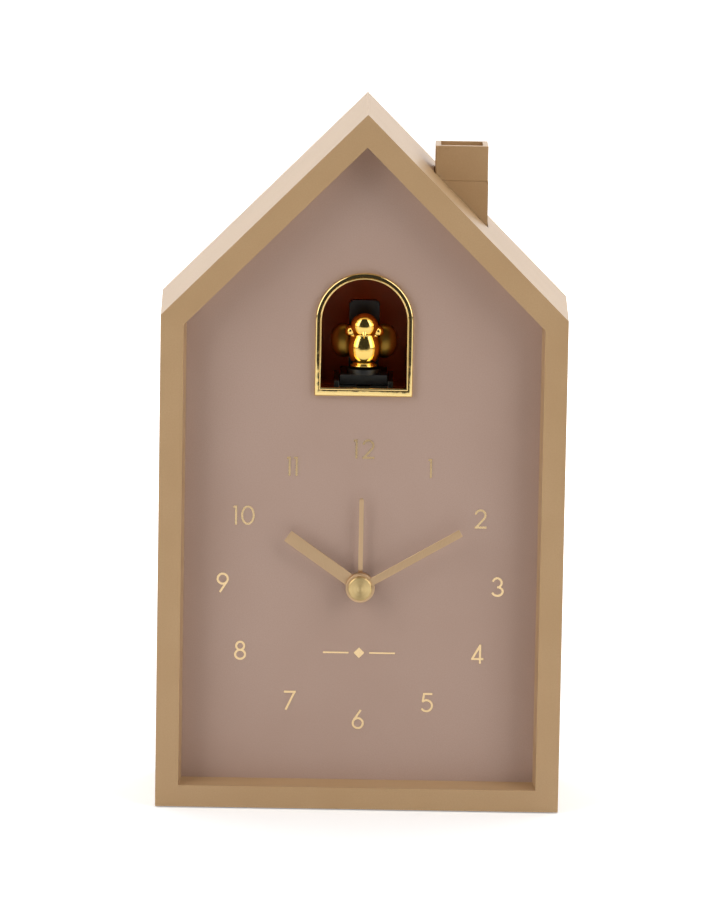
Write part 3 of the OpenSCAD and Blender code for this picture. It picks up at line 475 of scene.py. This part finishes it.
# Each mass: its centre across, back and up from the bird's foot, and its half sizes, in mm. The figure's are
# the body, the head, the cheeks and the foot.
BODY_MASSES = [
    ((0, -0.8, 6.3), (5.0, 4.1, 6.3)),
    ((0, -1.4, 13.3), (4.3, 3.5, 4.1)),
    ((-4.2, -0.9, 11.6), (1.9, 1.9, 1.9)),
    ((4.2, -0.9, 11.6), (1.9, 1.9, 1.9)),
    ((0, -0.4, 0.9), (4.3, 3.8, 0.85)),
]
WING_MASSES = [
    ((-6.4, 5.0, 7.9), (4.0, 2.3, 5.4)),
    ((6.4, 5.0, 7.9), (4.0, 2.3, 5.4)),
]


def blended(name, masses, smoothing, finish):
    """Rounded masses melted into one skin."""
    form = bmesh.new()
    for centre, half in masses:
        where = Matrix.Translation(bird_foot + Vector(centre) * MM)
        size = Matrix.Diagonal((*(h * MM for h in half), 1))
        bmesh.ops.create_icosphere(form, subdivisions=5, radius=1, matrix=where @ size)
    piece = finished_piece(name, form)
    melt = piece.modifiers.new("melt_together", "REMESH")
    melt.mode = "VOXEL"
    melt.voxel_size = 0.16 * MM
    melt.use_smooth_shade = True
    even = piece.modifiers.new("even_out", "SMOOTH")
    even.factor = 0.5
    even.iterations = smoothing
    dress(piece, finish)
    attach(piece, "bird")
    return piece


def beak(finish):
    """A short beak: a ridge down the middle and two flanks that meet at a point below the face."""
    root = bird_foot + Vector((0, -4.0, 12.6)) * MM
    form = bmesh.new()
    left, right, top, low, point = (
        form.verts.new(root + Vector(p) * MM)
        for p in ((-1.7, 0.3, -0.2), (1.7, 0.3, -0.2), (0, -0.5, 0.6), (0, 0.6, -2.0), (0, -1.3, -2.6))
    )
    for corners in ((left, top, point), (top, right, point), (right, low, point), (low, left, point)):
        form.faces.new(corners)
    form.faces.new((left, low, right, top))
    bmesh.ops.recalc_face_normals(form, faces=form.faces)
    piece = finished_piece("bird_beak", form)
    edge = piece.modifiers.new("soft_edges", "BEVEL")
    edge.width = 0.25 * MM
    edge.segments = 3
    full = piece.modifiers.new("full_flanks", "SUBSURF")
    full.levels = full.render_levels = 2
    dress(piece, finish)
    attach(piece, "bird")
    return piece


tinted = gold_plating("gold_plating_tinted", "#f3cb6c", "#fdda80", 0.09, 0.17)
bird = blended("bird_figure", BODY_MASSES, 24, tinted)
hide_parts("bird_body")
wings = blended("bird_wing_pair", WING_MASSES, 6, satin_plating_painted_shade())
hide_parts("bird_wings")
beak(tinted)

# ---------------------------------------------------------------------------------------------------------
# Studio: pale table, two tall soft lights, one overhead, and the camera


def sheet(name, x, y, finish):
    """A flat rectangle of the studio at floor height, from x[0] to x[1] and y[0] to y[1] in metres."""
    form = bmesh.new()
    corners = [(x[0], y[0]), (x[1], y[0]), (x[1], y[1]), (x[0], y[1])]
    form.faces.new([form.verts.new((*corner, 0)) for corner in corners])
    piece = finished_piece(name, form)
    dress(piece, finish)
    return piece


def table_paper():
    """Seamless white paper: flat and a little fibrous."""
    material, tree, place = begin("paper_seamless_white")
    fibres = noise(tree, place, 1.5, 4)
    colour = tint(tree, fibres, "#f4f4f3", "#fafaf9")
    # Away from the object the paper is lit until it is as bright as the air behind it.
    reach = add(tree, "ShaderNodeVectorMath", {0: place}, operation="LENGTH").outputs["Value"]
    wash = add(tree, "ShaderNodeMapRange", {"Value": reach, "From Min": 0.2, "From Max": 0.5, "To Min": 0.3})
    eye = add(tree, "ShaderNodeLightPath").outputs["Is Camera Ray"]
    wash = calc(tree, "MULTIPLY", wash, eye)
    lit = add(tree, "ShaderNodeBsdfDiffuse", {"Color": colour})
    glow = add(tree, "ShaderNodeEmission", {"Color": (1, 1, 1, 1), "Strength": wash})
    both = add(tree, "ShaderNodeAddShader", {0: lit, 1: glow})
    add(tree, "ShaderNodeOutputMaterial", {"Surface": both})
    return material


def soft_light(name, place, aim, size, power):
    """A softbox with its middle at place, facing aim."""
    data = bpy.data.lights.new(name, "AREA")
    data.shape = "RECTANGLE"
    data.size, data.size_y = size
    data.energy = power
    light = bpy.data.objects.new(name, data)
    bpy.context.scene.collection.objects.link(light)
    light.location = place
    light.rotation_mode = "QUATERNION"
    light.rotation_quaternion = (Vector(aim) - Vector(place)).to_track_quat("-Z", "Y")
    light.visible_camera = False


def studio_air():
    """White all round for the eye. The object is lit from behind, not from the front, and its reflections
    also see a floor."""
    world = bpy.data.worlds.new("studio_air")
    bpy.context.scene.world = world
    world.use_nodes = True
    tree = world.node_tree
    tree.nodes.clear()
    heading = add(tree, "ShaderNodeTexCoord").outputs["Generated"]
    parts = add(tree, "ShaderNodeSeparateXYZ", {"Vector": heading})
    behind = add(
        tree,
        "ShaderNodeMapRange",
        {"Value": parts.outputs["Y"], "From Min": 0.0, "From Max": 0.6, "To Min": 0.04, "To Max": 1.5},
    )
    # The reflected floor starts at the table's near edge in front, and just below the horizon to both sides.
    low = parts.outputs["Z"]
    ahead = add(
        tree,
        "ShaderNodeMapRange",
        {"Value": low, "From Min": -0.156, "From Max": -0.163, "To Max": 1.0},
    )
    aside = calc(tree, "ABSOLUTE", parts.outputs["X"])
    aside = add(tree, "ShaderNodeMapRange", {"Value": aside, "From Min": 0.3, "From Max": 0.6, "To Max": 1.1})
    below = add(tree, "ShaderNodeMapRange", {"Value": low, "From Min": -0.04, "From Max": -0.1})
    aside = calc(tree, "MULTIPLY", aside, below)
    ground = calc(tree, "MAXIMUM", ahead, aside)
    mirrored = add(tree, "ShaderNodeLightPath").outputs["Is Glossy Ray"]
    ground = calc(tree, "MULTIPLY", ground, mirrored)
    around = calc(tree, "MAXIMUM", behind, ground)
    eye = add(tree, "ShaderNodeLightPath").outputs["Is Camera Ray"]
    strength = calc(tree, "MAXIMUM", around, eye)
    air = add(tree, "ShaderNodeBackground", {"Color": (1, 1, 1, 1), "Strength": strength})
    add(tree, "ShaderNodeOutputWorld", {"Surface": air})


# The table's half width and near edge, and how far the floor goes on round it, in metres.
TABLE_HALF = 0.8
TABLE_EDGE = -0.5
FLOOR_NEAR = -4
FLOOR_FAR = 5
across = (-TABLE_HALF, TABLE_HALF)
FLOORS = {
    "left_floor": ((-FLOOR_FAR, -TABLE_HALF), (FLOOR_NEAR, FLOOR_FAR)),
    "right_floor": ((TABLE_HALF, FLOOR_FAR), (FLOOR_NEAR, FLOOR_FAR)),
    "back_floor": (across, (TABLE_HALF, FLOOR_FAR)),
    "front_floor": (across, (FLOOR_NEAR, TABLE_EDGE)),
}
paper = table_paper()
sheet("table_top", across, (TABLE_EDGE, TABLE_HALF), paper)
for name, (x, y) in FLOORS.items():
    floor = sheet(name, x, y, paper)
    # Only the eye sees the floor round the table. In reflections studio_air's own floor stands for it.
    floor.visible_glossy = False
    floor.visible_diffuse = False

for name, x in (("softbox_left", -0.85), ("softbox_right", 0.85)):
    soft_light(name, (x, -0.6, 0.66), (0, 0, 0.12), (0.8, 1.2), 7.5)
soft_light("softbox_top", (0, 0.1, 1.5), (0, 0, 0.1), (1.6, 1.2), 6)
studio_air()

bpy.context.scene.view_settings.view_transform = "Standard"

camera_data = bpy.data.cameras.new("camera")
camera = bpy.data.objects.new("camera", camera_data)
bpy.context.scene.collection.objects.link(camera)
bpy.context.scene.camera = camera
camera_data.lens = 235.8
camera_data.sensor_width = 36
camera_data.clip_start = 0.1
camera_data.clip_end = 50
AIM = Vector((0, front_y, 0.1124))
DISTANCE = 1.823
RISE = math.radians(9.27)
SIDE = math.radians(-0.25)
LEAN = math.radians(0.99)
back = Vector((math.sin(SIDE) * math.cos(RISE), -math.cos(SIDE) * math.cos(RISE), math.sin(RISE)))
camera.location = AIM + back * DISTANCE
camera.rotation_mode = "QUATERNION"
camera.rotation_quaternion = (-back).to_track_quat("-Z", "Y") @ Quaternion((0, 0, 1), LEAN)
